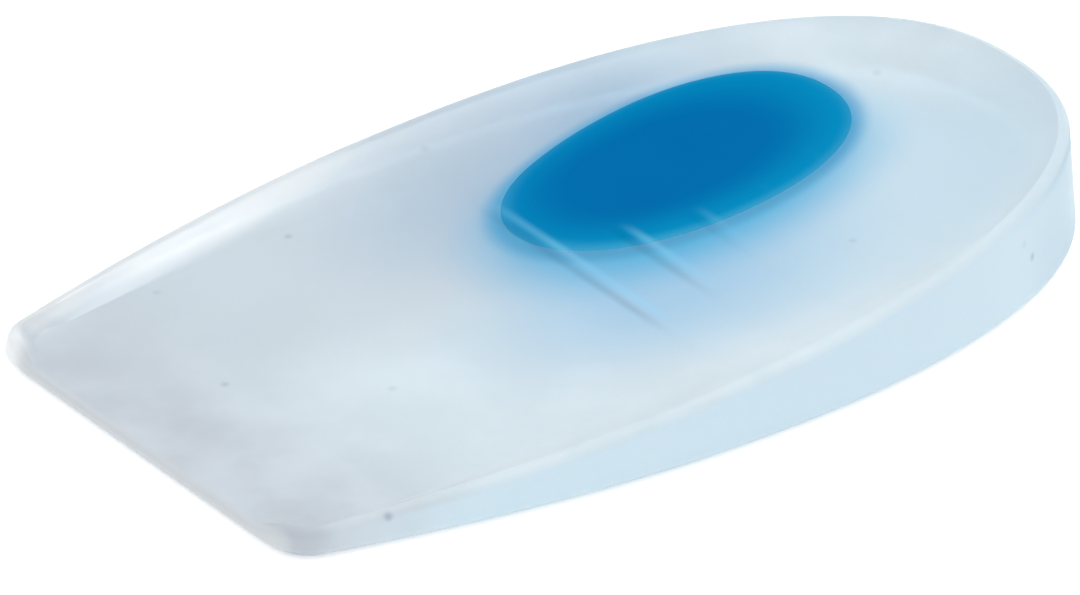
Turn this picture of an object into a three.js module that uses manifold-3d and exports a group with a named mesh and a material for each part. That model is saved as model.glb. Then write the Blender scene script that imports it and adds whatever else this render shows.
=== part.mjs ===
// Heel cushion: a wedge of clear silicone with a shallow dish for the heel, a soft oval inlay
// on one side of the dish, and grooves across the underside of the heel half.
// Millimetres, +Z up. The origin is the middle of the underside, and +X points to the heel end.

import * as THREE from 'three';
import { mergeVertices } from 'three/addons/utils/BufferGeometryUtils.js';
import Module from 'manifold-3d';

const wasm = await Module();
wasm.setup();

// Plan outline: a straight front edge, sides that fan out, and a rounded heel
const LENGTH = 105;
const FRONT_HALF_WIDTH = 25.2;
const WIDEST_HALF_WIDTH = 31.9;
const WIDEST_FROM_FRONT = 45.5;
const FRONT_CORNER_RADIUS = 3.3;
const SIDE_CURVE = 1.8;
const HEEL_CURVE = 2.32;

// Heights of the dish floor and of the rim around it
const FRONT_THICKNESS = 1.0;
const HEEL_FLOOR_HEIGHT = 8.35;
const FRONT_RIM_HEIGHT = 2.5;
const HEEL_RIM_HEIGHT = 11.6;
const RIM_RISE_CURVE = 1.08;

// Slope from the rim down to the floor: narrow and nearly straight in front, wide and hollow at the heel
const FRONT_SLOPE = { width: 1.5, hollow: 1.15 };
const HEEL_SLOPE = { width: 13.5, hollow: 1.8 };
const FULL_SLOPE_FROM_FRONT = 80;

// The rim dies away on the front edge between these distances from the centre line
const RIM_FADE_START = 18.5;
const RIM_FADE_END = 23.5;

// Wall of the rim
const WALL_LEAN = 0.06;
const FOOT_RADIUS = 0.7;
const LIP_RADIUS = 1.2;
const FULL_EDGE_HEIGHT = 2.5;

// Soft oval inlay, set flush into the dish on the inner side of the foot
const INLAY_FROM_FRONT = 69.7;
const INLAY_OFFSET = 9.2;
const INLAY_HALF_LENGTH = 19.85;
const INLAY_HALF_WIDTH = 11.5;
const INLAY_SQUARENESS = 2.1;
const INLAY_TURN = THREE.MathUtils.degToRad(3.8);
const INLAY_BOTTOM_HEIGHT = 1.7;
const INLAY_GAP = 0.3;
const POCKET_HEADROOM = 4;

// Bowl of the inlay, from its edge to its middle: share of the way out, and share of the full depth
const INLAY_BOWL = [
  { out: 1.0, deep: 0.15 },
  { out: 0.96, deep: 0.48 },
  { out: 0.88, deep: 0.78 },
  { out: 0.72, deep: 0.95 },
  { out: 0.4, deep: 1.0 },
];

// Grooves across the underside
const GROOVE_COUNT = 7;
const FIRST_GROOVE_FROM_FRONT = 53.5;
const GROOVE_PITCH = 7.6;
const GROOVE_RADIUS = 0.75;
const GROOVE_DEPTH = 0.6;
const GROOVE_MARGIN = 6.5;

// Fineness of the skins
const HEEL_AND_SIDE_STEPS = 50;
const CORNER_STEPS = 5;
const FRONT_STEPS = 8;
const INLAY_STEPS = 64;
const GROOVE_SIDES = 12;
const EDGE_STEPS = 3;
const SLOPE_STEPS = 6;
const FLOOR_SHARES = [0.45, 0.8];
const OUTLINE_BISECTIONS = 48;
const TANGENT_STEP = 0.002;

const SILICONE = new THREE.MeshStandardMaterial({
  name: 'clear_silicone',
  color: 0xd3e1ea,
  roughness: 0.32,
  metalness: 0,
  transparent: true,
  opacity: 0.7,
});
const SOFT_BLUE = new THREE.MeshStandardMaterial({
  name: 'soft_blue_gel',
  color: 0x026bac,
  roughness: 0.4,
  metalness: 0,
});

const mix = THREE.MathUtils.lerp;
const share = (value, start, end) => THREE.MathUtils.clamp((value - start) / (end - start), 0, 1);

// Evenly spaced values from one number up to, but without, another.
const evenSteps = (from, to, steps) =>
  Array.from({ length: steps }, (_, step) => mix(from, to, step / steps));

// Turns of a rounded edge, from its start to its end.
const QUARTER_ROUND = [...evenSteps(0, Math.PI / 2, EDGE_STEPS), Math.PI / 2];

// Half of the width at a distance from the front edge, with the front corners rounded.
function halfWidth(fromFront) {
  if (fromFront >= WIDEST_FROM_FRONT) {
    const back = share(fromFront, WIDEST_FROM_FRONT, LENGTH);
    return WIDEST_HALF_WIDTH * (1 - back ** HEEL_CURVE) ** (1 / HEEL_CURVE);
  }
  const ahead = share(fromFront, WIDEST_FROM_FRONT, 0);
  const side = mix(WIDEST_HALF_WIDTH, FRONT_HALF_WIDTH, ahead ** SIDE_CURVE);
  const intoCorner = Math.max(0, FRONT_CORNER_RADIUS - fromFront);
  const cornerWidth = Math.sqrt(FRONT_CORNER_RADIUS ** 2 - intoCorner ** 2);
  return side - FRONT_CORNER_RADIUS + cornerWidth;
}

// Distance from the origin to the outline in one direction.
function outlineRadius(angle) {
  let inside = 0;
  let outside = LENGTH;
  for (let step = 0; step < OUTLINE_BISECTIONS; step += 1) {
    const radius = (inside + outside) / 2;
    const fromFront = LENGTH / 2 + radius * Math.cos(angle);
    const withinLength = fromFront >= 0 && fromFront <= LENGTH;
    if (withinLength && Math.abs(radius * Math.sin(angle)) <= halfWidth(fromFront)) {
      inside = radius;
    } else {
      outside = radius;
    }
  }
  return inside;
}

// Height of the dish floor, which rises evenly to the heel.
function floorHeight(x) {
  return mix(FRONT_THICKNESS, HEEL_FLOOR_HEIGHT, x / LENGTH + 0.5);
}

// What the outer edge is like in one direction: where it is, how high the rim stands above the
// floor there, how its wall leans and is rounded, and how wide and hollow the slope inside it is.
function edgeToward(angle) {
  const radius = outlineRadius(angle);
  const change = outlineRadius(angle + TANGENT_STEP) - outlineRadius(angle - TANGENT_STEP);
  const slant = change / (2 * TANGENT_STEP);
  const x = radius * Math.cos(angle);
  const fromFront = x + LENGTH / 2;
  const rimHeight = mix(FRONT_RIM_HEIGHT, HEEL_RIM_HEIGHT, (fromFront / LENGTH) ** RIM_RISE_CURVE);
  const onSide = fromFront >= FRONT_CORNER_RADIUS;
  const aside = Math.abs(radius * Math.sin(angle));
  const fade = onSide ? 1 : THREE.MathUtils.smoothstep(aside, RIM_FADE_START, RIM_FADE_END);
  const alongSlope = share(fromFront, 0, FULL_SLOPE_FROM_FRONT);
  const lift = (rimHeight - floorHeight(x)) * fade;
  const crest = floorHeight(x) + lift;
  const sharpness = Math.min(1, crest / FULL_EDGE_HEIGHT);
  return {
    radius,
    squareness: radius / Math.hypot(radius, slant),
    lift,
    crest,
    lean: WALL_LEAN * crest,
    foot: FOOT_RADIUS * sharpness,
    lip: LIP_RADIUS * sharpness,
    slopeWidth: mix(FRONT_SLOPE.width, HEEL_SLOPE.width, alongSlope),
    hollow: mix(FRONT_SLOPE.hollow, HEEL_SLOPE.hollow, alongSlope),
  };
}

// Inset of the rim's crest from the outline.
function crestInset(edge) {
  return edge.lean + edge.lip;
}

// Share of the rim's lift that is left at an inset from the outline.
function slopeShare(edge, inset) {
  const down = share(inset, crestInset(edge), crestInset(edge) + edge.slopeWidth);
  return (1 - down) ** edge.hollow;
}

// Height of the dish at a point of the plan.
function topHeight(x, y) {
  const edge = edgeToward(Math.atan2(y, x));
  const inset = (edge.radius - Math.hypot(x, y)) * edge.squareness;
  return floorHeight(x) + edge.lift * slopeShare(edge, inset);
}

// Insets and heights of the section in one direction, from the foot over the lip to the floor.
function sectionToward(angle) {
  const edge = edgeToward(angle);
  const { foot, lip, lean, crest } = edge;
  const rows = [];
  for (const turn of QUARTER_ROUND) {
    rows.push({ inset: foot * (1 - Math.sin(turn)), z: foot * (1 - Math.cos(turn)) });
  }
  for (const turn of QUARTER_ROUND) {
    rows.push({ inset: lean + lip * (1 - Math.cos(turn)), z: crest - lip * (1 - Math.sin(turn)) });
  }
  const slopeFoot = crestInset(edge) + edge.slopeWidth;
  for (let step = 1; step <= SLOPE_STEPS; step += 1) {
    rows.push({ inset: mix(crestInset(edge), slopeFoot, step / SLOPE_STEPS) });
  }
  const reach = edge.radius * edge.squareness;
  for (const inward of FLOOR_SHARES) {
    rows.push({ inset: mix(slopeFoot, reach, inward) });
  }
  return rows.map(({ inset, z }) => {
    const radius = edge.radius - inset / edge.squareness;
    const x = radius * Math.cos(angle);
    const y = radius * Math.sin(angle);
    return new THREE.Vector3(x, y, z ?? topHeight(x, y));
  });
}

// Turns a skin of rings into a solid: shared points merged and empty triangles at the poles dropped.
function toSolid(geometry) {
  geometry.deleteAttribute('normal');
  geometry.deleteAttribute('uv');
  const merged = mergeVertices(geometry);
  const corners = merged.index.array;
  const triangles = [];
  for (let first = 0; first < corners.length; first += 3) {
    const [a, b, c] = corners.slice(first, first + 3);
    if (a !== b && b !== c && c !== a) {
      triangles.push(a, b, c);
    }
  }
  const mesh = new wasm.Mesh({
    numProp: 3,
    vertProperties: Float32Array.from(merged.attributes.position.array),
    triVerts: Uint32Array.from(triangles),
  });
  return new wasm.Manifold(mesh);
}

// Turns a solid back into a geometry.
function toGeometry(solid) {
  const mesh = solid.getMesh();
  const geometry = new THREE.BufferGeometry();
  geometry.setAttribute('position', new THREE.BufferAttribute(mesh.vertProperties, mesh.numProp));
  geometry.setIndex(new THREE.BufferAttribute(mesh.triVerts, 1));
  geometry.computeVertexNormals();
  return geometry;
}

// A closed skin of rings around the Z axis. A plain lathe gives the rings and both poles, and
// placeRing then sets the points of each direction, from the lower pole to the upper one.
function ringSkin(directions, placeRing) {
  const rowCount = placeRing(0).length;
  const profile = [];
  for (let row = 0; row < rowCount; row += 1) {
    const turn = Math.PI * (row / (rowCount - 1));
    profile.push(new THREE.Vector2(Math.sin(turn), -Math.cos(turn)));
  }
  const skin = new THREE.LatheGeometry(profile, directions.length);
  [...directions, directions[0]].forEach((angle, column) => {
    placeRing(angle).forEach((point, row) => {
      skin.attributes.position.setXYZ(column * rowCount + row, point.x, point.y, point.z);
    });
  });
  return toSolid(skin);
}

// Directions from the origin to the outline: even over heel and sides, closer round the front corners.
function outlineDirections() {
  const cornerEnd = Math.atan2(FRONT_HALF_WIDTH, FRONT_CORNER_RADIUS - LENGTH / 2);
  const cornerStart = Math.atan2(FRONT_HALF_WIDTH - FRONT_CORNER_RADIUS, -LENGTH / 2);
  const stretches = [
    { from: 0, to: cornerEnd, steps: HEEL_AND_SIDE_STEPS },
    { from: cornerEnd, to: cornerStart, steps: CORNER_STEPS },
    { from: cornerStart, to: Math.PI, steps: FRONT_STEPS },
  ];
  const left = stretches.flatMap(({ from, to, steps }) => evenSteps(from, to, steps));
  const right = left.slice(1).reverse().map((angle) => -angle);
  return [...left, Math.PI, ...right];
}

// The cushion before the pocket and the grooves are cut.
function cushionBlank() {
  const lowerPole = new THREE.Vector3(0, 0, 0);
  const upperPole = new THREE.Vector3(0, 0, floorHeight(0));
  return ringSkin(outlineDirections(), (angle) => [lowerPole, ...sectionToward(angle), upperPole]);
}

// A point of the oval in plan, at a share of the way from its middle to its edge.
function ovalPoint(angle, out, growth) {
  const along = Math.sign(Math.cos(angle)) * Math.abs(Math.cos(angle)) ** (2 / INLAY_SQUARENESS);
  const across = Math.sign(Math.sin(angle)) * Math.abs(Math.sin(angle)) ** (2 / INLAY_SQUARENESS);
  const point = new THREE.Vector2(
    (INLAY_HALF_LENGTH + growth) * out * along,
    (INLAY_HALF_WIDTH + growth) * out * across,
  );
  point.rotateAround(new THREE.Vector2(), INLAY_TURN);
  return point.add(new THREE.Vector2(INLAY_FROM_FRONT - LENGTH / 2, INLAY_OFFSET));
}

// The inlay's bowl, grown all round by a gap for the pocket, and raised above the dish by headroom.
function ovalBowl(growth, headroom) {
  const middle = ovalPoint(0, 0, growth);
  const bottomAt = (point, deep) => {
    const top = topHeight(point.x, point.y);
    return mix(top, INLAY_BOTTOM_HEIGHT, deep) - growth;
  };
  const lowerPole = new THREE.Vector3(middle.x, middle.y, bottomAt(middle, 1));
  const upperPole = new THREE.Vector3(middle.x, middle.y, topHeight(middle.x, middle.y) + headroom);
  return ringSkin(evenSteps(0, 2 * Math.PI, INLAY_STEPS), (angle) => {
    const lower = INLAY_BOWL.map(({ out, deep }) => {
      const point = ovalPoint(angle, out, growth);
      return new THREE.Vector3(point.x, point.y, bottomAt(point, deep));
    });
    const upper = INLAY_BOWL.map(({ out }) => {
      const point = ovalPoint(angle, out, growth);
      return new THREE.Vector3(point.x, point.y, topHeight(point.x, point.y) + headroom);
    });
    return [lowerPole, ...lower.reverse(), ...upper, upperPole];
  });
}

// One round-bottomed groove with round ends, lying across the underside.
function grooveCutter(index) {
  const fromFront = FIRST_GROOVE_FROM_FRONT + index * GROOVE_PITCH;
  const straight = 2 * (halfWidth(fromFront) - GROOVE_MARGIN);
  const capsule = new THREE.CapsuleGeometry(GROOVE_RADIUS, straight, EDGE_STEPS, GROOVE_SIDES);
  capsule.translate(fromFront - LENGTH / 2, 0, GROOVE_DEPTH - GROOVE_RADIUS);
  return toSolid(capsule);
}

function cushionBody() {
  let body = cushionBlank().subtract(ovalBowl(INLAY_GAP, POCKET_HEADROOM));
  for (let index = 0; index < GROOVE_COUNT; index += 1) {
    body = body.subtract(grooveCutter(index));
  }
  const mesh = new THREE.Mesh(toGeometry(body), SILICONE);
  mesh.name = 'cushion_body';
  return mesh;
}

function softInlay() {
  const mesh = new THREE.Mesh(toGeometry(ovalBowl(0, 0)), SOFT_BLUE);
  mesh.name = 'soft_inlay';
  return mesh;
}

const heelCushion = new THREE.Group();
heelCushion.name = 'heel_cushion';
heelCushion.add(cushionBody(), softInlay());

export default heelCushion;
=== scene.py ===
"""Heel cushion: a wedge of milky clear silicone with a heel dish and a soft blue gel inlay.

Metres, +Z up. The origin is the middle of the underside, and +X points to the heel end.
"""

import logging
import math
from collections.abc import Iterable, Sequence
from dataclasses import dataclass, field
from enum import Enum
from typing import Any

import bmesh
import bpy
from mathutils import Matrix, Vector


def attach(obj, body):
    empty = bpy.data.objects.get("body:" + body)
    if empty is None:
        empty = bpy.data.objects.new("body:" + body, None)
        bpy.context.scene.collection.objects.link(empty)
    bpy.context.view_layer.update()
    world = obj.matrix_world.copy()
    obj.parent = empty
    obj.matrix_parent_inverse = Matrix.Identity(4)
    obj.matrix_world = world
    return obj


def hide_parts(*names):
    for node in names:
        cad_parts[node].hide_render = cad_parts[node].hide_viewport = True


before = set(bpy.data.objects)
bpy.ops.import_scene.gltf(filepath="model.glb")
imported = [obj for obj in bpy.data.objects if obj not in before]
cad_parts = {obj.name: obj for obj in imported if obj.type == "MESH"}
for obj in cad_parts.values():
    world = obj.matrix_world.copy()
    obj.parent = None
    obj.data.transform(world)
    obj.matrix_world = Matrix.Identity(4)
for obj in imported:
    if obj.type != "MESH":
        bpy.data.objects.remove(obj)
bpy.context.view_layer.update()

MM = 0.001

Colour = tuple[float, float, float, float]

log = logging.getLogger("heel_cushion")


class Body(Enum):
    """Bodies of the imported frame."""

    ROOT = "root"


class Node(Enum):
    """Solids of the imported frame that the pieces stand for."""

    CUSHION = "cushion_body"
    INLAY = "soft_inlay"


class Slot(Enum):
    """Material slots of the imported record."""

    SILICONE = "clear_silicone"
    BLUE_GEL = "soft_blue_gel"


class Socket(Enum):
    """Kinds of socket on a shader node group."""

    VALUE = "NodeSocketFloat"
    VECTOR = "NodeSocketVector"


def mix(start: float, end: float, share: float) -> float:
    """Return the value at a share of the way from start to end."""
    return start + (end - start) * share


def share_of(value: float, start: float, end: float) -> float:
    """Return how far value lies from start to end, held between 0 and 1."""
    return min(1.0, max(0.0, (value - start) / (end - start)))


def smooth_share(value: float, start: float, end: float) -> float:
    """Return share_of with an easy start and end."""
    share = share_of(value, start, end)
    return share * share * (3.0 - 2.0 * share)


def even_steps(start: float, end: float, steps: int) -> list[float]:
    """Return evenly spaced values from start up to, but without, end."""
    return [mix(start, end, step / steps) for step in range(steps)]


def quarter_turns(steps: int) -> list[float]:
    """Return the turns of a rounded edge, from 0 to a right angle."""
    return [*even_steps(0.0, math.pi / 2, steps), math.pi / 2]


@dataclass(frozen=True)
class Outline:
    """Plan of the cushion: a straight front edge, sides that fan out and a round heel."""

    length: float = 105 * MM
    front_half_width: float = 25.2 * MM
    widest_half_width: float = 31.9 * MM
    widest_from_front: float = 45.5 * MM
    corner_radius: float = 3.3 * MM
    side_curve: float = 1.8
    heel_curve: float = 2.32
    heel_and_side_steps: int = 190
    corner_steps: int = 22
    front_steps: int = 30
    bisections: int = 48
    tangent_step: float = 0.002

    def half_width(self, from_front: float) -> float:
        """Return half of the width, with the front corners rounded.

        Args:
            from_front: Distance behind the front edge.

        Returns:
            Half of the width there.
        """
        if from_front >= self.widest_from_front:
            back = share_of(from_front, self.widest_from_front, self.length)
            roundness = (1.0 - back**self.heel_curve) ** (1.0 / self.heel_curve)
            return self.widest_half_width * roundness
        ahead = share_of(from_front, self.widest_from_front, 0.0)
        side = mix(self.widest_half_width, self.front_half_width, ahead**self.side_curve)
        into_corner = max(0.0, self.corner_radius - from_front)
        corner_width = math.sqrt(self.corner_radius**2 - into_corner**2)
        return side - self.corner_radius + corner_width

    def radius(self, angle: float) -> float:
        """Return the distance from the origin to the outline.

        Args:
            angle: Direction in plan, from +X.

        Returns:
            Distance to the outline in that direction.
        """
        inside = 0.0
        outside = self.length
        for _ in range(self.bisections):
            radius = (inside + outside) / 2
            from_front = self.length / 2 + radius * math.cos(angle)
            within = 0.0 <= from_front <= self.length
            if within and abs(radius * math.sin(angle)) <= self.half_width(from_front):
                inside = radius
            else:
                outside = radius
        return inside

    def slant(self, angle: float) -> float:
        """Return how fast the radius changes with the direction."""
        ahead = self.radius(angle + self.tangent_step)
        behind = self.radius(angle - self.tangent_step)
        return (ahead - behind) / (2 * self.tangent_step)

    def directions(self) -> list[float]:
        """Return the directions round the outline, closer together at the front corners."""
        corner_end = math.atan2(self.front_half_width, self.corner_radius - self.length / 2)
        corner_start = math.atan2(self.front_half_width - self.corner_radius, -self.length / 2)
        left = [
            *even_steps(0.0, corner_end, self.heel_and_side_steps),
            *even_steps(corner_end, corner_start, self.corner_steps),
            *even_steps(corner_start, math.pi, self.front_steps),
        ]
        right = [-angle for angle in reversed(left[1:])]
        return [*left, math.pi, *right]


@dataclass(frozen=True)
class Edge:
    """Outer edge of the cushion in one direction."""

    angle: float
    radius: float
    squareness: float
    lift: float
    crest: float
    lean: float
    foot: float
    lip: float
    slope_width: float
    hollow: float

    @property
    def crest_inset(self) -> float:
        """Inset of the rim's crest from the outline."""
        return self.lean + self.lip

    @property
    def slope_foot(self) -> float:
        """Inset at which the slope inside the rim has reached the floor."""
        return self.crest_inset + self.slope_width

    @property
    def reach(self) -> float:
        """Inset of the middle of the cushion."""
        return self.radius * self.squareness

    def slope_share(self, inset: float) -> float:
        """Return the share of the rim's lift that is left at an inset."""
        return (1.0 - share_of(inset, self.crest_inset, self.slope_foot)) ** self.hollow

    def point(self, inset: float, height: float) -> Vector:
        """Return the point at an inset from the outline and a height."""
        radius = self.radius - inset / self.squareness
        return Vector((radius * math.cos(self.angle), radius * math.sin(self.angle), height))


@dataclass(frozen=True)
class Dish:
    """Heights of the cushion: a floor that rises to the heel and a rim that stands round it."""

    outline: Outline = Outline()
    front_thickness: float = 1.0 * MM
    heel_floor_height: float = 8.35 * MM
    front_rim_height: float = 2.5 * MM
    heel_rim_height: float = 11.6 * MM
    rim_rise_curve: float = 1.08
    front_slope_width: float = 1.5 * MM
    heel_slope_width: float = 13.5 * MM
    front_hollow: float = 1.25
    heel_hollow: float = 1.8
    full_slope_from_front: float = 80 * MM
    rim_fade_start: float = 18.5 * MM
    rim_fade_end: float = 23.5 * MM
    wall_lean: float = 0.06
    foot_radius: float = 0.7 * MM
    lip_radius: float = 1.2 * MM
    full_edge_height: float = 2.5 * MM

    def floor_height(self, x: float) -> float:
        """Return the height of the floor, which rises evenly to the heel."""
        along = x / self.outline.length + 0.5
        return mix(self.front_thickness, self.heel_floor_height, along)

    def edge_toward(self, angle: float) -> Edge:
        """Return what the outer edge is like in one direction.

        Args:
            angle: Direction in plan, from +X.

        Returns:
            The edge, with the rim's lift above the floor and the slope inside it.
        """
        outline = self.outline
        radius = outline.radius(angle)
        x = radius * math.cos(angle)
        from_front = x + outline.length / 2
        along = share_of(from_front, 0.0, outline.length)
        rim = mix(self.front_rim_height, self.heel_rim_height, along**self.rim_rise_curve)
        fade = 1.0
        if from_front < outline.corner_radius:
            aside = abs(radius * math.sin(angle))
            fade = smooth_share(aside, self.rim_fade_start, self.rim_fade_end)
        along_slope = share_of(from_front, 0.0, self.full_slope_from_front)
        lift = (rim - self.floor_height(x)) * fade
        crest = self.floor_height(x) + lift
        fullness = min(1.0, crest / self.full_edge_height)
        return Edge(
            angle=angle,
            radius=radius,
            squareness=radius / math.hypot(radius, outline.slant(angle)),
            lift=lift,
            crest=crest,
            lean=self.wall_lean * crest,
            foot=self.foot_radius * fullness,
            lip=self.lip_radius * fullness,
            slope_width=mix(self.front_slope_width, self.heel_slope_width, along_slope),
            hollow=mix(self.front_hollow, self.heel_hollow, along_slope),
        )

    def height_on(self, edge: Edge, inset: float) -> float:
        """Return the height of the dish at an inset from one edge.

        Args:
            edge: Edge in the direction of the point.
            inset: Distance from the outline.

        Returns:
            Height of the dish there.
        """
        return self.floor_height(edge.point(inset, 0.0).x) + edge.lift * edge.slope_share(inset)

    def top_height(self, x: float, y: float) -> float:
        """Return the height of the dish at a point of the plan."""
        edge = self.edge_toward(math.atan2(y, x))
        return self.height_on(edge, (edge.radius - math.hypot(x, y)) * edge.squareness)


@dataclass(frozen=True)
class Oval:
    """An oval in plan. As it stands it is the inlay's, a little turned on one side of the dish."""

    centre_x: float = 17.2 * MM
    centre_y: float = 9.2 * MM
    half_length: float = 19.85 * MM
    half_width: float = 11.5 * MM
    squareness: float = 2.1
    turn: float = math.radians(3.8)

    @property
    def centre(self) -> Vector:
        """Middle of the oval in plan."""
        return Vector((self.centre_x, self.centre_y, 0.0))

    def point(self, angle: float, out: float, growth: float) -> Vector:
        """Return a point of the oval in plan.

        Args:
            angle: Direction from the middle of the oval.
            out: Share of the way from the middle to the edge.
            growth: How far the whole oval is grown, or shrunk if negative.

        Returns:
            The point, at height 0.
        """
        power = 2.0 / self.squareness
        along = math.copysign(abs(math.cos(angle)) ** power, math.cos(angle))
        across = math.copysign(abs(math.sin(angle)) ** power, math.sin(angle))
        spot = Vector(
            (
                (self.half_length + growth) * out * along,
                (self.half_width + growth) * out * across,
                0.0,
            )
        )
        return Matrix.Rotation(self.turn, 3, "Z") @ spot + self.centre


class RingSkin:
    """Closed skin that grows by extruding a ring of edges from one ring of points to the next."""

    def __init__(self, ring: Sequence[Vector]) -> None:
        """Start with the first ring of points.

        Args:
            ring: Points of the first ring, in order.
        """
        self.mesh = bmesh.new()
        made = bmesh.ops.create_circle(self.mesh, cap_ends=False, radius=1.0, segments=len(ring))
        self.first: list[bmesh.types.BMVert] = list(made["verts"])
        self.last = self.first
        self._place(self.first, ring)

    @staticmethod
    def _place(loop: Iterable[bmesh.types.BMVert], ring: Iterable[Vector]) -> None:
        """Move the vertices of a loop to the points of a ring."""
        for vertex, point in zip(loop, ring):
            vertex.co = point

    def _edges(self, loop: Sequence[bmesh.types.BMVert]) -> list[bmesh.types.BMEdge]:
        """Return the edges that join the vertices of a loop."""
        following = [*loop[1:], loop[0]]
        return [self.mesh.edges.get(pair) for pair in zip(loop, following)]

    def grow(self, ring: Sequence[Vector]) -> None:
        """Extrude the last loop to the next ring of points.

        Args:
            ring: Points of the next ring, in the same order.
        """
        made = bmesh.ops.extrude_edge_only(self.mesh, edges=self._edges(self.last))
        fresh = {part for part in made["geom"] if isinstance(part, bmesh.types.BMVert)}
        self.last = [
            next(edge.other_vert(old) for edge in old.link_edges if edge.other_vert(old) in fresh)
            for old in self.last
        ]
        self._place(self.last, ring)

    def close(self, first_pole: Vector, last_pole: Vector) -> bmesh.types.BMesh:
        """Close both ends with a fan and turn the faces outwards.

        Args:
            first_pole: Middle of the fan on the first ring.
            last_pole: Middle of the fan on the last ring.

        Returns:
            The finished skin.
        """
        for loop, pole in ((self.first, first_pole), (self.last, last_pole)):
            cap = bmesh.ops.contextual_create(self.mesh, geom=self._edges(loop))
            fan = bmesh.ops.poke(self.mesh, faces=cap["faces"])
            self._place(fan["verts"], [pole])
        bmesh.ops.recalc_face_normals(self.mesh, faces=self.mesh.faces)
        return self.mesh


def loft(rings: Sequence[Sequence[Vector]], poles: tuple[Vector, Vector]) -> bmesh.types.BMesh:
    """Make a closed skin through rings of points.

    Args:
        rings: Rings with the same number of points, from one pole to the other.
        poles: Points that close the first and the last ring.

    Returns:
        The closed skin.
    """
    skin = RingSkin(rings[0])
    for ring in rings[1:]:
        skin.grow(ring)
    return skin.close(*poles)


def to_object(name: str, mesh: bmesh.types.BMesh) -> bpy.types.Object:
    """Turn a bmesh into an object of the scene.

    Args:
        name: Name of the object and of its mesh.
        mesh: Bmesh to use up.

    Returns:
        The new object.
    """
    data = bpy.data.meshes.new(name)
    mesh.to_mesh(data)
    mesh.free()
    made = bpy.data.objects.new(name, data)
    bpy.context.scene.collection.objects.link(made)
    return made


def cut_away(target: bpy.types.Object, cutter: bpy.types.Object) -> None:
    """Subtract one object from another and remove the cutter.

    Args:
        target: Object that keeps what is left.
        cutter: Object whose volume is taken away.
    """
    cut = target.modifiers.new("cut", "BOOLEAN")
    cut.operation = "DIFFERENCE"
    cut.solver = "EXACT"
    cut.object = cutter
    solved = target.evaluated_get(bpy.context.evaluated_depsgraph_get())
    left = bpy.data.meshes.new_from_object(solved)
    target.modifiers.remove(cut)
    whole = target.data
    target.data = left
    bpy.data.meshes.remove(whole)
    spent = cutter.data
    bpy.data.objects.remove(cutter)
    bpy.data.meshes.remove(spent)
    target.data.name = target.name


def shade(target: bpy.types.Object, crease: float) -> None:
    """Shade an object smooth, with the edges sharper than a crease angle kept sharp."""
    target.data.shade_smooth()
    target.data.set_sharp_from_angle(angle=crease)


@dataclass
class NodeBench:
    """Places nodes in one node tree and links them."""

    tree: bpy.types.NodeTree

    def add(self, kind: str, **settings: Any) -> bpy.types.Node:
        """Place a node.

        Args:
            kind: Blender's name for the kind of node.
            **settings: Properties of the node to set.

        Returns:
            The new node.
        """
        node = self.tree.nodes.new(kind)
        for name, value in settings.items():
            setattr(node, name, value)
        return node

    def feed(self, target: bpy.types.NodeSocket, source: Any) -> None:
        """Link a socket to another socket, or give it a plain value."""
        if isinstance(source, bpy.types.NodeSocket):
            self.tree.links.new(source, target)
        else:
            target.default_value = source

    def split(self, vector: bpy.types.NodeSocket) -> bpy.types.Node:
        """Place a node that splits a vector into X, Y and Z."""
        node = self.add("ShaderNodeSeparateXYZ")
        self.feed(node.inputs["Vector"], vector)
        return node

    def math(self, operation: str, *values: Any) -> bpy.types.NodeSocket:
        """Place a Math node.

        Args:
            operation: Name of the operation.
            *values: Sockets or numbers that it works on.

        Returns:
            Its result.
        """
        node = self.add("ShaderNodeMath", operation=operation)
        for target, value in zip(node.inputs, values):
            self.feed(target, value)
        return node.outputs["Value"]

    def blend(self, share: Any, first: Any, second: Any, way: str = "MIX") -> bpy.types.NodeSocket:
        """Place a Mix node for colours.

        Args:
            share: Share of the second colour.
            first: Colour at a share of 0.
            second: Colour at a share of 1.
            way: Blend type, such as MIX or MULTIPLY.

        Returns:
            The mixed colour.
        """
        node = self.add("ShaderNodeMix", data_type="RGBA", clamp_factor=True, blend_type=way)
        self.feed(node.inputs["Factor"], share)
        colours = [socket for socket in node.inputs if socket.type == "RGBA"]
        self.feed(colours[0], first)
        self.feed(colours[1], second)
        return next(socket for socket in node.outputs if socket.type == "RGBA")

    def ease(self, value: Any, start: Any, end: Any, low: Any, high: Any) -> bpy.types.NodeSocket:
        """Place a Map Range node with an easy start and end.

        Args:
            value: Value to map.
            start: Value that gives low.
            end: Value that gives high.
            low: Result at start.
            high: Result at end.

        Returns:
            The mapped value.
        """
        node = self.add("ShaderNodeMapRange", interpolation_type="SMOOTHSTEP")
        names = ("Value", "From Min", "From Max", "To Min", "To Max")
        for name, source in zip(names, (value, start, end, low, high)):
            self.feed(node.inputs[name], source)
        return node.outputs["Result"]


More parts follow.
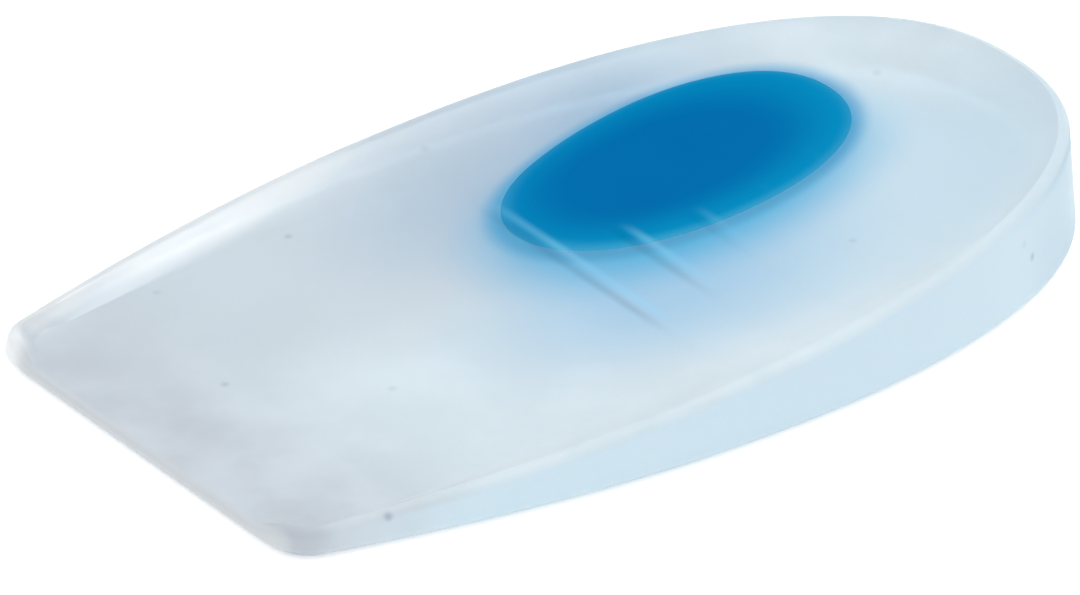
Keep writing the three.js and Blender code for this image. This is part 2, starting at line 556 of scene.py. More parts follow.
@dataclass
class Effects:
    """Shader node groups that both finishes use."""

    skin: bpy.types.NodeTree = field(init=False)
    oval: bpy.types.NodeTree = field(init=False)
    lines: bpy.types.NodeTree = field(init=False)
    cloud_detail: float = 3.0
    cloud_low: float = 0.36
    cloud_high: float = 0.66
    grain_detail: float = 2.0
    ripple_detail: float = 0.0
    ripple_share: float = 0.7

    def __post_init__(self) -> None:
        """Build the groups once."""
        self.skin = self._moulded_skin()
        self.oval = self._oval_falloff()
        self.lines = self._painted_groove_shading()

    @staticmethod
    def _group(
        name: str, vectors: Sequence[str], values: Sequence[str], outputs: Sequence[str]
    ) -> tuple[NodeBench, bpy.types.Node, bpy.types.Node]:
        """Start a node group.

        Args:
            name: Name of the group.
            vectors: Names of its vector inputs.
            values: Names of its value inputs.
            outputs: Names of its outputs, which are values.

        Returns:
            A bench for the group, its input node and its output node.
        """
        tree = bpy.data.node_groups.new(name, "ShaderNodeTree")
        for labels, side, kind in (
            (vectors, "INPUT", Socket.VECTOR),
            (values, "INPUT", Socket.VALUE),
            (outputs, "OUTPUT", Socket.VALUE),
        ):
            for label in labels:
                tree.interface.new_socket(name=label, in_out=side, socket_type=kind.value)
        bench = NodeBench(tree)
        return bench, bench.add("NodeGroupInput"), bench.add("NodeGroupOutput")

    def _moulded_skin(self) -> bpy.types.NodeTree:
        """Build the group for a moulded skin with fine grain and cloudy patches.

        Returns:
            The group, whose outputs are a bump height and a mask.
        """
        bench, given, result = self._group(
            "moulded_skin",
            ("Position",),
            ("Grain Scale", "Ripple Scale", "Cloud Scale"),
            ("Height", "Cloud"),
        )
        details = (
            ("Grain", self.grain_detail),
            ("Ripple", self.ripple_detail),
            ("Cloud", self.cloud_detail),
        )
        noises = {}
        for label, detail in details:
            noise = bench.add("ShaderNodeTexNoise")
            noise.inputs["Detail"].default_value = detail
            bench.feed(noise.inputs["Vector"], given.outputs["Position"])
            bench.feed(noise.inputs["Scale"], given.outputs[f"{label} Scale"])
            noises[label] = noise.outputs["Fac"]
        ripple = bench.math("MULTIPLY", noises["Ripple"], self.ripple_share)
        bench.feed(result.inputs["Height"], bench.math("ADD", noises["Grain"], ripple))
        cloud = bench.ease(noises["Cloud"], self.cloud_low, self.cloud_high, 0.0, 1.0)
        bench.feed(result.inputs["Cloud"], cloud)
        return bench.tree

    def _oval_falloff(self) -> bpy.types.NodeTree:
        """Build the group for an oval spot that fades outwards in plan.

        Returns:
            The group, whose output is 1 inside the inner oval and 0 outside the outer one.
        """
        bench, given, result = self._group(
            "oval_falloff",
            ("Position", "Centre", "Turn", "Half Size"),
            ("Squareness", "Inner", "Outer"),
            ("Mask",),
        )
        place = bench.add("ShaderNodeMapping", vector_type="TEXTURE")
        for target, source in (
            ("Vector", "Position"),
            ("Location", "Centre"),
            ("Rotation", "Turn"),
            ("Scale", "Half Size"),
        ):
            bench.feed(place.inputs[target], given.outputs[source])
        parts = bench.split(place.outputs["Vector"])
        power = given.outputs["Squareness"]
        root = bench.math("DIVIDE", 1.0, power)
        sizes = [bench.math("ABSOLUTE", parts.outputs[axis]) for axis in "XY"]
        along, across = (bench.math("POWER", size, power) for size in sizes)
        out = bench.math("POWER", bench.math("ADD", along, across), root)
        fade = bench.ease(out, given.outputs["Inner"], given.outputs["Outer"], 1.0, 0.0)
        bench.feed(result.inputs["Mask"], fade)
        return bench.tree

    def _painted_groove_shading(self) -> bpy.types.NodeTree:
        """Build the group for painted groove shading: even lines across the cushion, each a
        painted dark and a painted light streak.

        Returns:
            The group, whose outputs are the masks of the two streaks.
        """
        bench, given, result = self._group(
            "painted_groove_shading",
            ("Position",),
            ("First", "Pitch", "Apart", "Width"),
            ("Dark", "Light"),
        )
        place = bench.split(given.outputs["Position"])
        along = bench.math("SUBTRACT", place.outputs["X"], given.outputs["First"])
        steps = bench.math("ROUND", bench.math("DIVIDE", along, given.outputs["Pitch"]))
        off = bench.math("SUBTRACT", along, bench.math("MULTIPLY", steps, given.outputs["Pitch"]))
        for label, middle in (("Dark", 0.0), ("Light", given.outputs["Apart"])):
            gap = bench.math("ABSOLUTE", bench.math("SUBTRACT", off, middle))
            streak = bench.ease(gap, 0.0, given.outputs["Width"], 1.0, 0.0)
            bench.feed(result.inputs[label], streak)
        return bench.tree


@dataclass(frozen=True)
class SkinLook:
    """Scales and sizes of one moulded skin."""

    grain_scale: float
    ripple_scale: float
    cloud_scale: float
    bump_strength: float
    bump_distance: float


@dataclass(frozen=True)
class Speck:
    """A dark speck trapped just under the skin, with its place in millimetres."""

    x: float
    y: float
    z: float
    strength: float


@dataclass(frozen=True)
class SpotLook:
    """A soft spot of one colour, sized in shares of the oval that it lies on."""

    colour: Colour
    inner: float
    outer: float
    shift_x: float = 0.0
    shift_y: float = 0.0
    strength: float = 1.0


@dataclass(frozen=True)
class PaintedGlowLook:
    """Painted glow and shading round the inlay, the gel's own core colours, and the painted groove
    shading.
    """

    # Painted glow and shading: blue light that the inlay scatters into the silicone, with the
    # light and shade of the dish round it, as soft spots.
    spots: tuple[SpotLook, ...] = (
        SpotLook((0.016, 0.277, 0.558, 1.0), 0.00, 1.65, -11.8 * MM, 6.7 * MM, 0.98),
        SpotLook((0.609, 0.736, 0.809, 1.0), 0.97, 1.85, 4.1 * MM, -17.3 * MM),
        SpotLook((0.596, 0.650, 0.695, 1.0), 0.97, 2.22, -32.0 * MM, 9.1 * MM, 0.68),
        SpotLook((0.000, 0.369, 0.704, 1.0), 0.21, 1.51, -13.7 * MM, -16.6 * MM, 0.34),
        SpotLook((0.000, 0.431, 0.719, 1.0), 0.58, 1.45, -2.7 * MM, -4.0 * MM, 0.95),
        SpotLook((0.051, 0.361, 0.611, 1.0), 1.00, 1.15, -0.5 * MM, -0.5 * MM, 0.97),
    )
    core: tuple[SpotLook, ...] = (
        SpotLook((0.001, 0.277, 0.537, 1.0), 0.90, 1.06, 0.7 * MM, 0.4 * MM),
        SpotLook((0.000, 0.152, 0.415, 1.0), 0.53, 1.08, -0.4 * MM, 1.2 * MM),
    )
    line_first: float = -2.1 * MM
    line_pitch: float = 7.3 * MM
    line_apart: float = 1.4 * MM
    line_width: float = 0.9 * MM
    line_fade_in: float = 2.0 * MM
    line_fade_out: float = 36.0 * MM
    line_back: float = 9.0 * MM
    line_back_faint: float = 17.0 * MM
    heel_share: float = 0.25
    back_share: float = 0.15
    far_share: float = 0.05
    # Painted shade and painted highlight of the grooves beneath, as they show through the
    # silicone.
    line_dark: SpotLook = SpotLook((0.0, 0.08, 0.20, 1.0), 0.9, 1.75, -30 * MM, -9 * MM, 0.24)
    line_light: SpotLook = SpotLook((0.30, 0.70, 0.93, 1.0), 0.9, 1.75, -30 * MM, -9 * MM, 0.36)
    line_core: SpotLook = SpotLook((0.0, 0.0, 0.0, 1.0), 0.7, 1.0, 0.0, 0.8 * MM)


@dataclass
class FinishBench:
    """Material under construction: its bench, its shader and the object's own coordinates."""

    name: str
    effects: Effects
    material: bpy.types.Material = field(init=False)
    bench: NodeBench = field(init=False)
    shader: bpy.types.Node = field(init=False)
    output: bpy.types.Node = field(init=False)
    position: bpy.types.NodeSocket = field(init=False)
    normal: bpy.types.NodeSocket = field(init=False)

    def __post_init__(self) -> None:
        """Start a material with one Principled shader."""
        self.material = bpy.data.materials.new(self.name)
        self.material.use_nodes = True
        self.material.node_tree.nodes.clear()
        self.bench = NodeBench(self.material.node_tree)
        self.shader = self.bench.add("ShaderNodeBsdfPrincipled")
        self.output = self.bench.add("ShaderNodeOutputMaterial")
        self.bench.feed(self.output.inputs["Surface"], self.shader.outputs["BSDF"])
        coordinates = self.bench.add("ShaderNodeTexCoord")
        self.position = coordinates.outputs["Object"]
        self.normal = coordinates.outputs["Normal"]

    def set(self, **values: Any) -> None:
        """Set or link sockets of the shader, named with _ for each space."""
        for name, value in values.items():
            self.bench.feed(self.shader.inputs[name.replace("_", " ")], value)

    def group(self, tree: bpy.types.NodeTree, **values: Any) -> bpy.types.Node:
        """Place a group on the object's own coordinates.

        Args:
            tree: The group.
            **values: Its other inputs, named with _ for each space.

        Returns:
            The group node.
        """
        node = self.bench.add("ShaderNodeGroup", node_tree=tree)
        self.bench.feed(node.inputs["Position"], self.position)
        for name, value in values.items():
            self.bench.feed(node.inputs[name.replace("_", " ")], value)
        return node

    def skin(self, look: SkinLook) -> bpy.types.NodeSocket:
        """Place the moulded skin and its bump.

        Args:
            look: Scales and sizes of the skin.

        Returns:
            Mask of the cloudy patches.
        """
        node = self.group(
            self.effects.skin,
            Grain_Scale=look.grain_scale,
            Ripple_Scale=look.ripple_scale,
            Cloud_Scale=look.cloud_scale,
        )
        bump = self.bench.add("ShaderNodeBump")
        bump.inputs["Strength"].default_value = look.bump_strength
        bump.inputs["Distance"].default_value = look.bump_distance
        self.bench.feed(bump.inputs["Height"], node.outputs["Height"])
        self.set(Normal=bump.outputs["Normal"])
        return node.outputs["Cloud"]

    def mask(self, oval: Oval, look: SpotLook) -> bpy.types.NodeSocket:
        """Place an oval spot.

        Args:
            oval: Oval that the spot lies on.
            look: Size and shift of the spot.

        Returns:
            Mask of the spot.
        """
        node = self.group(
            self.effects.oval,
            Centre=oval.centre + Vector((look.shift_x, look.shift_y, 0.0)),
            Turn=(0.0, 0.0, oval.turn),
            Half_Size=(oval.half_length, oval.half_width, 1.0),
            Squareness=oval.squareness,
            Inner=look.inner,
            Outer=look.outer,
        )
        return node.outputs["Mask"]

    def glow(self, under: Any, oval: Oval, spots: Sequence[SpotLook]) -> bpy.types.NodeSocket:
        """Lay soft spots over a colour.

        Args:
            under: Colour that the spots lie on.
            oval: Oval that the spots lie on.
            spots: Spots, the lowest first.

        Returns:
            The colour with the spots.
        """
        colour = under
        for spot in spots:
            cover = self.bench.math("MULTIPLY", self.mask(oval, spot), spot.strength)
            colour = self.bench.blend(cover, colour, spot.colour)
        return colour

    def painted_groove_shading(self, under: Any, oval: Oval, look: PaintedGlowLook) -> bpy.types.NodeSocket:
        """Lay the painted groove shading over a colour, strongest round the inlay and fading to
        the heel.

        Args:
            under: Colour that the lines lie on.
            oval: Plan of the inlay.
            look: Places and strengths of the lines.

        Returns:
            The colour with the lines.
        """
        bench = self.bench
        lines = self.group(
            self.effects.lines,
            First=look.line_first,
            Pitch=look.line_pitch,
            Apart=look.line_apart,
            Width=look.line_width,
        )
        place = bench.split(self.position)
        first = look.line_first
        share = bench.math("SUBTRACT", 1.0, self.mask(oval, look.line_core))
        for axis, start, end, low, high in (
            ("X", first - look.line_fade_in, first, 0.0, 1.0),
            ("X", first, look.line_fade_out, 1.0, look.heel_share),
            ("Y", look.line_back, look.line_back_faint, 1.0, look.back_share),
        ):
            fade = bench.ease(place.outputs[axis], start, end, low, high)
            share = bench.math("MULTIPLY", share, fade)
        colour = under
        for label, streak in (("Dark", look.line_dark), ("Light", look.line_light)):
            cover = bench.math("MULTIPLY", lines.outputs[label], share)
            near = bench.ease(self.mask(oval, streak), 0.0, 1.0, look.far_share, 1.0)
            for part in (near, streak.strength):
                cover = bench.math("MULTIPLY", cover, part)
            colour = bench.blend(cover, colour, streak.colour)
        return colour


@dataclass(frozen=True)
class SiliconeFinish:
    """Milky clear silicone, with a painted blue glow round the inlay and painted light and shade
    on its walls, front face and far rim.
    """

    slot: Slot = Slot.SILICONE
    front: Colour = (0.545, 0.570, 0.612, 1.0)
    heel: Colour = (0.690, 0.764, 0.798, 1.0)
    front_end: float = -53.7 * MM
    heel_start: float = -26.6 * MM
    cloudy: Colour = (0.80, 0.87, 0.91, 1.0)
    cloud_strength: float = 0.40
    # Painted light: the front face takes a lighter colour of its own than the front of the dish.
    front_face_light: Colour = (0.67, 0.69, 0.705, 1.0)
    # Painted highlight: whitish patches on the far rim's front half and its corner, where the key
    # light shines off the slope.
    far_rim_highlight: Oval = Oval(-28.0 * MM, 29.2 * MM, 28.0 * MM, 4.2 * MM, 2.0, math.radians(3.0))
    far_front_highlight: Oval = Oval(-46.0 * MM, 26.2 * MM, 8.0 * MM, 2.6 * MM, 2.0, math.radians(10.0))
    far_corner_highlight: Oval = Oval(-53.0 * MM, 24.0 * MM, 3.6 * MM, 4.2 * MM, 2.0, 0.0)
    pale: SpotLook = SpotLook((0.95, 0.93, 0.905, 1.0), 0.45, 1.0, strength=0.45)
    far_corner_highlight_look: SpotLook = SpotLook((0.95, 0.95, 0.94, 1.0), 0.45, 1.0, strength=0.95)
    # Where the painted light on the front face begins and where it is full.
    front_start: float = -51.4 * MM
    front_full: float = -52.2 * MM
    # Painted light and shade on the upright walls: the side walls and the heel wall each take a
    # colour set by how the light falls on them, the heel wall's darker.
    side_wall_shading: Colour = (0.665, 0.785, 0.85, 1.0)
    heel_wall_shade: Colour = (0.45, 0.605, 0.685, 1.0)
    side_start: float = -50.0 * MM
    side_full: float = -30.0 * MM
    heel_wall_start: float = 31.0 * MM
    heel_wall_full: float = 48.0 * MM
    upright_below: float = 0.25
    flat_above: float = 0.65
    speck_colour: Colour = (0.20, 0.26, 0.32, 1.0)
    speck_size: float = 0.7 * MM
    specks: tuple[Speck, ...] = (
        Speck(-42.7, -27.1, 2.7, 0.50),
        Speck(35.4, -24.2, 4.6, 0.46),
        Speck(-39.8, 4.2, 1.9, 0.36),
        Speck(-19.4, 23.0, 3.3, 0.34),
        Speck(-0.6, 26.6, 5.6, 0.22),
        Speck(21.5, -13.8, 6.2, 0.24),
        Speck(-35.1, 22.7, 2.2, 0.22),
        Speck(-28.1, -7.0, 2.7, 0.20),
        Speck(34.0, -24.7, 6.6, 0.16),
        Speck(41.6, 9.3, 8.5, 0.16),
        Speck(-10.0, 31.7, 3.0, 0.40),
        Speck(30.0, 26.5, 5.5, 0.30),
    )
    transmission: float = 0.3
    scatter: float = 1.0
    scatter_radius: tuple[float, float, float] = (0.8, 0.9, 1.0)
    scatter_scale: float = 0.12 * MM
    roughness_low: float = 0.28
    roughness_high: float = 0.34
    rim_roughness: float = 0.55
    rim_rise: float = 0.0867
    rim_middle: float = 6.85 * MM
    rim_below: float = -1.9 * MM
    rim_top: float = -0.6 * MM
    rim_start: float = -14.0 * MM
    rim_full: float = -22.0 * MM
    ior: float = 1.41
    specular_level: float = 0.5
    absorption: Colour = (0.20, 0.66, 0.88, 1.0)
    absorption_density: float = 10.0
    skin: SkinLook = SkinLook(
        grain_scale=900.0,
        ripple_scale=130.0,
        cloud_scale=90.0,
        bump_strength=0.05,
        bump_distance=0.3 * MM,
    )
    glow: PaintedGlowLook = PaintedGlowLook()

    def top_colour(
        self, made: FinishBench, oval: Oval, place: bpy.types.Node, cloud: bpy.types.NodeSocket
    ) -> bpy.types.NodeSocket:
        """Colour the dish and the rim, with the painted glow, the painted groove shading, painted
        light on the front face and a painted highlight on the far rim.

        Args:
            made: Material under construction.
            oval: Plan of the inlay, round which the glow is painted.
            place: Node that splits the position.
            cloud: Mask of the cloudy patches.

        Returns:
            The colour, before the painted wall shading and the specks.
        """
        bench = made.bench
        along = bench.ease(place.outputs["X"], self.front_end, self.heel_start, 0.0, 1.0)
        clouds = bench.math("MULTIPLY", cloud, self.cloud_strength)
        colour = bench.blend(clouds, bench.blend(along, self.front, self.heel), self.cloudy)
        # Painted glow and shading round the inlay.
        colour = made.glow(colour, oval, self.glow.spots)
        # Painted groove shading: a dark and a light streak over each groove.
        colour = made.painted_groove_shading(colour, oval, self.glow)
        # Painted light on the front face.
        foremost = bench.ease(place.outputs["X"], self.front_start, self.front_full, 0.0, 1.0)
        colour = bench.blend(foremost, colour, self.front_face_light)
        # Painted highlight on the far rim's front half and corner.
        for patch, pale in (
            (self.far_rim_highlight, self.pale),
            (self.far_front_highlight, self.pale),
            (self.far_corner_highlight, self.far_corner_highlight_look),
        ):
            colour = made.glow(colour, patch, (pale,))
        return colour

    def rim(
        self, bench: NodeBench, place: bpy.types.Node, heelward: bpy.types.NodeSocket
    ) -> bpy.types.NodeSocket:
        """Mask the crest of the rim on the near side and round the heel.

        Args:
            bench: Bench of the material.
            place: Node that splits the position.
            heelward: Mask of the heel end.

        Returns:
            Mask of the crest.
        """
        crest = bench.math("MULTIPLY", place.outputs["X"], self.rim_rise)
        above = bench.math("SUBTRACT", place.outputs["Z"], crest)
        above = bench.math("SUBTRACT", above, self.rim_middle)
        high = bench.ease(above, self.rim_below, self.rim_top, 0.0, 1.0)
        beside = bench.ease(place.outputs["Y"], self.rim_start, self.rim_full, 0.0, 1.0)
        return bench.math("MULTIPLY", bench.math("MAXIMUM", beside, heelward), high)

    def dust(self, made: FinishBench) -> bpy.types.NodeSocket:
        """Place the specks.

        Args:
            made: Material under construction.

        Returns:
            Mask of all specks.
        """
        bench = made.bench
        cover: Any = 0.0
        for speck in self.specks:
            gap = bench.add("ShaderNodeVectorMath", operation="DISTANCE")
            bench.feed(gap.inputs[0], made.position)
            bench.feed(gap.inputs[1], Vector((speck.x, speck.y, speck.z)) * MM)
            near = bench.ease(gap.outputs["Value"], 0.0, self.speck_size, speck.strength, 0.0)
            cover = bench.math("MAXIMUM", cover, near)
        return cover

    def material(self, effects: Effects, oval: Oval) -> bpy.types.Material:
        """Build the material.

        Args:
            effects: Shared node groups.
            oval: Plan of the inlay, round which the glow is painted.

        Returns:
            The finished material.
        """
        made = FinishBench(self.slot.value, effects)
        bench = made.bench
        cloud = made.skin(self.skin)
        place = bench.split(made.position)
        heelward = bench.ease(
            place.outputs["X"], self.heel_wall_start, self.heel_wall_full, 0.0, 1.0
        )
        # Painted light and shade: the colours of the upright walls.
        walls = bench.blend(heelward, self.side_wall_shading, self.heel_wall_shade)
        facing = bench.split(made.normal)
        upright = bench.ease(facing.outputs["Z"], self.upright_below, self.flat_above, 1.0, 0.0)
        sided = bench.ease(place.outputs["X"], self.side_start, self.side_full, 0.0, 1.0)
        colour = self.top_colour(made, oval, place, cloud)
        # Painted light and shade: upright faces take the wall colours in place of the dish's.
        colour = bench.blend(bench.math("MULTIPLY", upright, sided), colour, walls)
        rough = bench.ease(cloud, 0.0, 1.0, self.roughness_low, self.roughness_high)
        rim = self.rim(bench, place, heelward)
        made.set(
            Base_Color=bench.blend(self.dust(made), colour, self.speck_colour),
            Roughness=bench.ease(rim, 0.0, 1.0, rough, self.rim_roughness),
            Transmission_Weight=self.transmission,
            IOR=self.ior,
            Specular_IOR_Level=self.specular_level,
            Subsurface_Weight=self.scatter,
            Subsurface_Radius=self.scatter_radius,
            Subsurface_Scale=self.scatter_scale,
        )
        depth = bench.add("ShaderNodeVolumeAbsorption")
        depth.inputs["Color"].default_value = self.absorption
        depth.inputs["Density"].default_value = self.absorption_density
        bench.feed(made.output.inputs["Volume"], depth.outputs["Volume"])
        return made.material


@dataclass(frozen=True)
class BlueGelFinish:
    """Soft blue gel, deep in the middle and paler where it thins towards its edge."""

    slot: Slot = Slot.BLUE_GEL
    edge: Colour = (0.709, 0.783, 0.818, 1.0)
    tone: Colour = (0.64, 0.75, 0.74, 1.0)
    mottle: Colour = (0.001, 0.20, 0.50, 1.0)
    mottle_strength: float = 0.10
    glow: PaintedGlowLook = PaintedGlowLook()
    roughness_low: float = 0.40
    roughness_high: float = 0.50
    specular_level: float = 0.002
    skin: SkinLook = SkinLook(
        grain_scale=1100.0,
        ripple_scale=150.0,
        cloud_scale=70.0,
        bump_strength=0.06,
        bump_distance=0.3 * MM,
    )

    def material(self, effects: Effects, oval: Oval) -> bpy.types.Material:
        """Build the material.

        Args:
            effects: Shared node groups.
            oval: Plan of the inlay.

        Returns:
            The finished material.
        """
        made = FinishBench(self.slot.value, effects)
        bench = made.bench
        cloud = made.skin(self.skin)
        # The painted glow and shading spots lie on the gel too, under its own core colours.
        colour = made.glow(self.edge, oval, self.glow.spots + self.glow.core)
        colour = made.painted_groove_shading(colour, oval, self.glow)
        mottled = bench.math("MULTIPLY", cloud, self.mottle_strength)
        colour = bench.blend(mottled, colour, self.mottle)
        made.set(
            Base_Color=bench.blend(1.0, colour, self.tone, "MULTIPLY"),
            Roughness=bench.ease(cloud, 0.0, 1.0, self.roughness_low, self.roughness_high),
            Specular_IOR_Level=self.specular_level,
        )
        return made.material


@dataclass
class SoftInlay:
    """Blue gel inlay, a flat-topped bowl that lies flush in the dish."""

    dish: Dish = Dish()
    oval: Oval = Oval()
    finish: BlueGelFinish = BlueGelFinish()
    name: str = "blue_gel_inlay"
    bottom_height: float = 1.7 * MM
    edge_depth: float = 0.15
    bowl_power: float = 6.0
    bowl_shares: tuple[float, ...] = (0.2, 0.4, 0.55, 0.67, 0.77, 0.85, 0.91, 0.95, 0.98, 1.0)
    top_shares: tuple[float, ...] = (0.97, 0.92, 0.84, 0.72, 0.56, 0.38, 0.2)
    edge_round: float = 0.006 * MM
    raised: float = 0.006 * MM
    edge_steps: int = 4
    steps_round: int = 180
    crease: float = math.radians(50.0)
    fill: float = 1.0

    def directions(self) -> list[float]:
        """Return the directions of the rings' points."""
        return even_steps(0.0, 2 * math.pi, self.steps_round)

    def bowl_point(self, angle: float, out: float, growth: float) -> Vector:
        """Return a point of the bowl.

        Args:
            angle: Direction from the middle of the oval.
            out: Share of the way from the middle to the edge.
            growth: How far the bowl is grown all round.

        Returns:
            The point on the lower side.
        """
        spot = self.oval.point(angle, out, growth)
        deep = mix(self.edge_depth, 1.0, math.sqrt(1.0 - out**self.bowl_power))
        top = self.dish.top_height(spot.x, spot.y)
        return Vector((spot.x, spot.y, mix(top, self.bottom_height, deep) - growth))

    def top_point(self, angle: float, out: float, growth: float, raised: float) -> Vector:
        """Return a point over the oval.

        Args:
            angle: Direction from the middle of the oval.
            out: Share of the way from the middle to the edge.
            growth: How far the oval is grown all round.
            raised: Height above the dish.

        Returns:
            The point on the upper side.
        """
        spot = self.oval.point(angle, out, growth)
        return Vector((spot.x, spot.y, self.dish.top_height(spot.x, spot.y) + raised))

    def top_ring(self, out: float, growth: float, raised: float) -> list[Vector]:
        """Return one ring of points over the oval."""
        return [self.top_point(angle, out, growth, raised) for angle in self.directions()]

    def bowl_rings(self, growth: float) -> list[list[Vector]]:
        """Return the rings of the bowl from its middle to its edge."""
        return [
            [self.bowl_point(angle, out, growth) for angle in self.directions()]
            for out in self.bowl_shares
        ]

    def cutter(self, growth: float, headroom: float) -> bmesh.types.BMesh:
        """Build what cuts the inlay's pocket.

        Args:
            growth: How far the pocket is wider than the inlay.
            headroom: How far the cutter stands above the dish.

        Returns:
            The cutter's skin.
        """
        rings = self.bowl_rings(growth)
        rings.append(self.top_ring(1.0, growth, headroom))
        poles = (self.bowl_point(0.0, 0.0, growth), self.top_point(0.0, 0.0, growth, headroom))
        return loft(rings, poles)

    def build(self) -> bpy.types.Object:
        """Build the mesh of the inlay.

        Returns:
            The inlay's object.
        """
        rings = self.bowl_rings(0.0)
        for turn in quarter_turns(self.edge_steps):
            inset = self.edge_round * (1.0 - math.cos(turn))
            drop = self.edge_round * (1.0 - math.sin(turn))
            rings.append(self.top_ring(1.0, -inset, self.raised - drop))
        for out in self.top_shares:
            rings.append(self.top_ring(out, 0.0, self.raised))
        poles = (self.bowl_point(0.0, 0.0, 0.0), self.top_point(0.0, 0.0, 0.0, self.raised))
        made = to_object(self.name, loft(rings, poles))
        shade(made, self.crease)
        return made

    def dress(self, made: bpy.types.Object, effects: Effects) -> None:
        """Give the inlay its finish and say what it is in the frame.

        Args:
            made: The inlay's object.
            effects: Shared node groups.
        """
        made.data.materials.append(self.finish.material(effects, self.oval))
        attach(made, Body.ROOT.value)
        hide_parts(Node.INLAY.value)


@dataclass
class Cushion:
    """Silicone cushion with its dish and rim, the inlay's pocket and the grooves underneath."""

    dish: Dish = Dish()
    inlay: SoftInlay = field(default_factory=SoftInlay)
    finish: SiliconeFinish = SiliconeFinish()
    name: str = "silicone_cushion"
    pocket_grip: float = 0.1 * MM
    pocket_headroom: float = 4.0 * MM
    groove_count: int = 7
    first_groove_from_front: float = 53.5 * MM
    groove_pitch: float = 7.6 * MM
    groove_radius: float = 0.75 * MM
    groove_depth: float = 0.6 * MM
    groove_margin: float = 6.5 * MM
    groove_sides: int = 24
    groove_end_steps: int = 9
    edge_steps: int = 5
    wall_shares: tuple[float, ...] = (0.25, 0.5, 0.75)
    slope_steps: int = 16
    floor_shares: tuple[float, ...] = (0.04, 0.12, 0.24, 0.38, 0.52, 0.66, 0.8, 0.92)
    underside_shares: tuple[float, ...] = (0.2, 0.4, 0.6, 0.78, 0.9, 0.96, 0.985)
    crease: float = math.radians(38.0)
    fill: float = 1.0

    def section(self, edge: Edge) -> list[Vector]:
        """Return the points of the section in one direction, from the underside to the floor.

        Args:
            edge: Edge in that direction.

        Returns:
            The points, without the poles.
        """
        points = []
        for out in self.underside_shares:
            points.append(edge.point(mix(edge.reach, edge.foot, out), 0.0))
        for turn in quarter_turns(self.edge_steps):
            inset = edge.foot * (1.0 - math.sin(turn))
            points.append(edge.point(inset, edge.foot * (1.0 - math.cos(turn))))
        lip_start = edge.crest - edge.lip
        for up in self.wall_shares:
            points.append(edge.point(mix(0.0, edge.lean, up), mix(edge.foot, lip_start, up)))
        for turn in quarter_turns(self.edge_steps):
            inset = edge.lean + edge.lip * (1.0 - math.cos(turn))
            points.append(edge.point(inset, edge.crest - edge.lip * (1.0 - math.sin(turn))))
        insets = [
            mix(edge.crest_inset, edge.slope_foot, (step + 1) / self.slope_steps)
            for step in range(self.slope_steps)
        ]
        insets += [mix(edge.slope_foot, edge.reach, inward) for inward in self.floor_shares]
        points += [edge.point(inset, self.dish.height_on(edge, inset)) for inset in insets]
        return points

    def blank(self) -> bmesh.types.BMesh:
        """Build the cushion before anything is cut from it.

        Returns:
            The blank's skin.
        """
        edges = [self.dish.edge_toward(angle) for angle in self.dish.outline.directions()]
        columns = [self.section(edge) for edge in edges]
        rings = [list(ring) for ring in zip(*columns)]
        poles = (Vector((0.0, 0.0, 0.0)), Vector((0.0, 0.0, self.dish.floor_height(0.0))))
        return loft(rings, poles)

    def add_groove(self, mesh: bmesh.types.BMesh, index: int) -> None:
        """Add the cutter of one round-bottomed groove with round ends.

        Args:
            mesh: Cutter that the groove joins.
            index: Number of the groove, from the front.
        """
        outline = self.dish.outline
        from_front = self.first_groove_from_front + index * self.groove_pitch
        half_length = outline.half_width(from_front) - self.groove_margin
        made = bmesh.ops.create_uvsphere(
            mesh,
            u_segments=self.groove_sides,
            v_segments=self.groove_end_steps,
            radius=self.groove_radius,
            matrix=Matrix.Rotation(math.pi / 2, 4, "X"),
        )
        for side in (-1.0, 1.0):
            half = [vertex for vertex in made["verts"] if vertex.co.y * side > 0.0]
            bmesh.ops.translate(mesh, verts=half, vec=Vector((0.0, side * half_length, 0.0)))
        x = from_front - outline.length / 2
        place = Vector((x, 0.0, self.groove_depth - self.groove_radius))
        bmesh.ops.translate(mesh, verts=made["verts"], vec=place)

    def build(self) -> bpy.types.Object:
        """Build the mesh of the cushion.

        Returns:
            The cushion's object.
        """
        made = to_object(self.name, self.blank())
        cutter = self.inlay.cutter(-self.pocket_grip, self.pocket_headroom)
        for index in range(self.groove_count):
            self.add_groove(cutter, index)
        cut_away(made, to_object("cutter", cutter))
        shade(made, self.crease)
        return made

    def dress(self, made: bpy.types.Object, effects: Effects) -> None:
        """Give the cushion its finish and say what it is in the frame.

        Args:
            made: The cushion's object.
            effects: Shared node groups.
        """
        made.data.materials.clear()
        made.data.materials.append(self.finish.material(effects, self.inlay.oval))
        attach(made, Body.ROOT.value)
        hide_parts(Node.CUSHION.value)


@dataclass(frozen=True)
class Softbox:
    """One soft studio light."""

    name: str
    azimuth: float
    elevation: float
    distance: float
    width: float
    depth: float
    power: float

    def build(self) -> bpy.types.Object:
        """Place the light so that it faces the cushion.

        Returns:
            The light's object.
        """
        data = bpy.data.lights.new(self.name, "AREA")
        data.shape = "RECTANGLE"
        data.size = self.width
        data.size_y = self.depth
        data.energy = self.power
        made = bpy.data.objects.new(self.name, data)
        away = away_from(self.azimuth, self.elevation)
        made.location = away * self.distance
        made.rotation_euler = away.to_track_quat("Z", "Y").to_euler()
        made.visible_camera = False
        bpy.context.scene.collection.objects.link(made)
        return made


def away_from(azimuth: float, elevation: float) -> Vector:
    """Return the direction from the cushion to a place round it.

    Args:
        azimuth: Degrees round the cushion, where 0 stands at -Y and 90 at +X.
        elevation: Degrees above the floor.

    Returns:
        A direction of length 1.
    """
    turn = math.radians(azimuth)
    rise = math.radians(elevation)
    return Vector(
        (math.sin(turn) * math.cos(rise), -math.cos(turn) * math.cos(rise), math.sin(rise))
    )


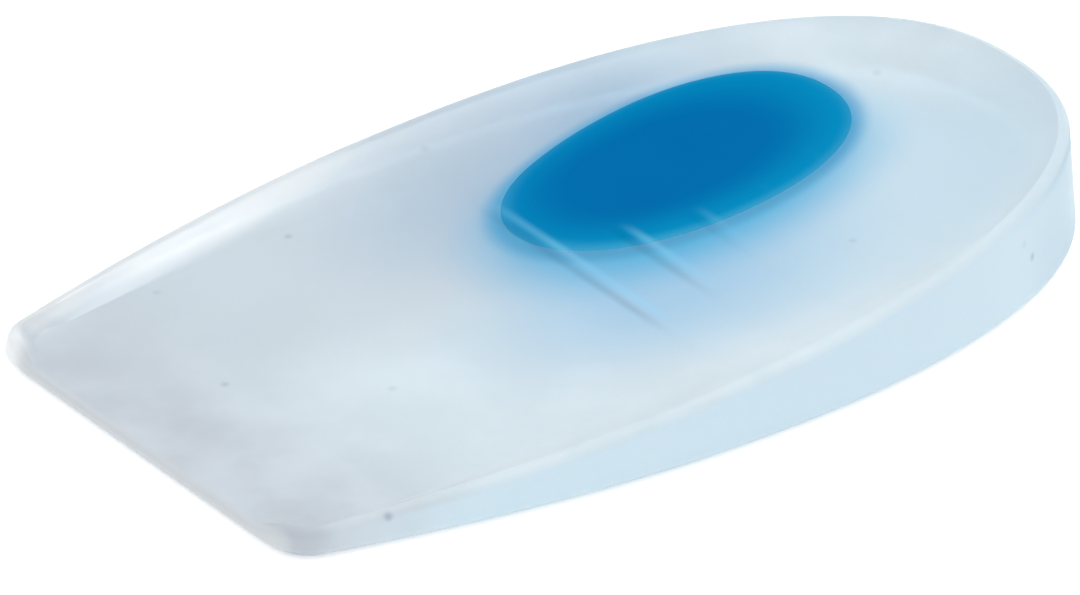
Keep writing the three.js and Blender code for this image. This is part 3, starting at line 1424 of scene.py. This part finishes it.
@dataclass
class Studio:
    """Pale floor, soft lights, even surroundings and the camera."""

    floor_name: str = "studio_floor"
    floor_half_size: float = 8.0
    floor_drop: float = 0.2 * MM
    floor_colour: Colour = (0.86, 0.86, 0.86, 1.0)
    floor_glow_colour: Colour = (1.0, 1.0, 1.0, 1.0)
    floor_glow: float = 0.3
    floor_roughness: float = 0.9
    floor_specular: float = 0.0
    world_colour: Colour = (0.93, 0.97, 1.0, 1.0)
    world_strength: float = 0.95
    lights: tuple[Softbox, ...] = (
        Softbox(
            name="key_softbox",
            azimuth=99.0,
            elevation=61.0,
            distance=1.2,
            width=0.55,
            depth=0.46,
            power=6.0,
        ),
        Softbox(
            name="front_softbox",
            azimuth=-48.0,
            elevation=15.0,
            distance=1.2,
            width=1.0,
            depth=0.6,
            power=3.5,
        ),
    )
    camera_azimuth: float = -35.575
    camera_elevation: float = 28.529
    camera_distance: float = 1.4515
    camera_lens: float = 500.0
    camera_sensor: float = 36.0
    aim_right: float = -4.714 * MM
    aim_up: float = 0.536 * MM

    def build_floor(self) -> None:
        """Lay a pale floor that glows a little, as a light table does."""
        mesh = bmesh.new()
        bmesh.ops.create_grid(mesh, x_segments=1, y_segments=1, size=self.floor_half_size)
        bmesh.ops.translate(mesh, verts=mesh.verts, vec=Vector((0.0, 0.0, -self.floor_drop)))
        floor = to_object(self.floor_name, mesh)
        material = bpy.data.materials.new(self.floor_name)
        material.use_nodes = True
        shader = material.node_tree.nodes["Principled BSDF"]
        for label, value in (
            ("Base Color", self.floor_colour),
            ("Roughness", self.floor_roughness),
            ("Specular IOR Level", self.floor_specular),
            ("Emission Color", self.floor_glow_colour),
            ("Emission Strength", self.floor_glow),
        ):
            shader.inputs[label].default_value = value
        floor.data.materials.append(material)

    def build_world(self) -> None:
        """Fill the surroundings with even light."""
        scene = bpy.context.scene
        scene.world = bpy.data.worlds.new("studio_surroundings")
        scene.world.use_nodes = True
        sky = scene.world.node_tree.nodes["Background"]
        sky.inputs["Color"].default_value = self.world_colour
        sky.inputs["Strength"].default_value = self.world_strength

    def build_camera(self) -> None:
        """Place the camera at the photograph's viewing angle."""
        scene = bpy.context.scene
        data = bpy.data.cameras.new("camera")
        data.lens = self.camera_lens
        data.sensor_width = self.camera_sensor
        camera = bpy.data.objects.new("camera", data)
        back = away_from(self.camera_azimuth, self.camera_elevation)
        turn = back.to_track_quat("Z", "Y")
        aim = turn @ Vector((self.aim_right, self.aim_up, 0.0))
        camera.location = aim + back * self.camera_distance
        camera.rotation_euler = turn.to_euler()
        scene.collection.objects.link(camera)
        scene.camera = camera

    def build(self) -> None:
        """Build the whole studio."""
        self.build_floor()
        self.build_world()
        for light in self.lights:
            light.build()
        self.build_camera()
        settings = bpy.context.scene.view_settings
        settings.view_transform = "Standard"
        settings.look = "None"


def main() -> None:
    """Build the cushion, its inlay and the studio."""
    logging.basicConfig(level=logging.INFO, format="%(name)s: %(message)s")
    effects = Effects()
    inlay = SoftInlay()
    cushion = Cushion(inlay=inlay)
    for part in (cushion, inlay):
        made = part.build()
        part.dress(made, effects)
        sizes = (len(made.data.vertices), len(made.data.polygons))
        log.info("%s has %d vertices and %d faces", made.name, *sizes)
    Studio().build()


if __name__ == "__main__":
    main()
